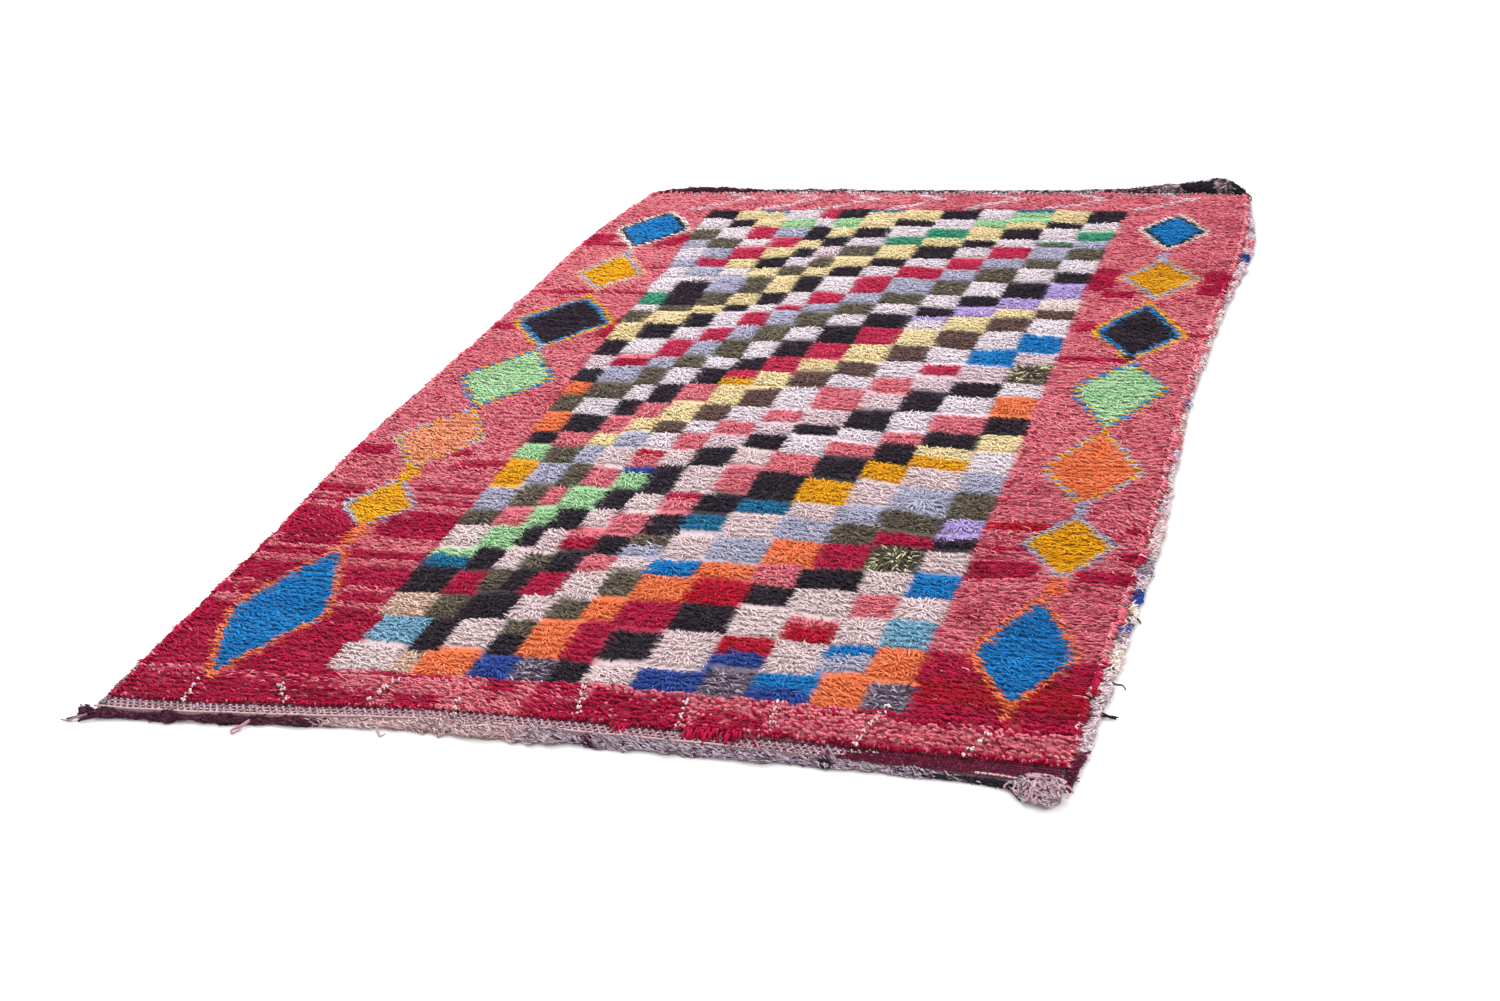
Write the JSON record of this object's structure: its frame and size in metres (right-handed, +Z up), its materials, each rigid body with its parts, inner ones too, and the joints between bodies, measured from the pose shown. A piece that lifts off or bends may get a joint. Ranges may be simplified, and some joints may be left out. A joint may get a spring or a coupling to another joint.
{
  "type": "boucherouite rug",
  "caption": "Shaggy knotted rag rug lying flat, with flat-woven ends closed by thick rag braids and rags overcast along both sides.",
  "frame": {"origin": "middle of the rug's bounding box, on the surface that it lies on", "axes": "+Z up out of the pile, +Y along the rug to the end with the thinner braid, +X across it to the side with the wider overcasting"},
  "size_m": [1.6619, 2.695, 0.0375],
  "materials": {
    "knotted_shag": "matt wool and rag shag in many colours, rose red at the borders",
    "near_braid_yarn": "fluffy matt rag yarn, maroon, beige pink and lilac grey",
    "far_braid_yarn": "fluffy matt rag yarn, maroon, speckled grey and black",
    "left_overcast_rag": "matt rag strips, grey and rose",
    "right_overcast_rag": "matt rag strips, white, lilac and grey"
  },
  "bodies": {
    "root": {"rug_body": "knotted_shag", "near_end_braid": "near_braid_yarn", "far_end_braid": "far_braid_yarn", "left_side_wrap": "left_overcast_rag", "right_side_wrap": "right_overcast_rag"}
  },
  "joints": []
}
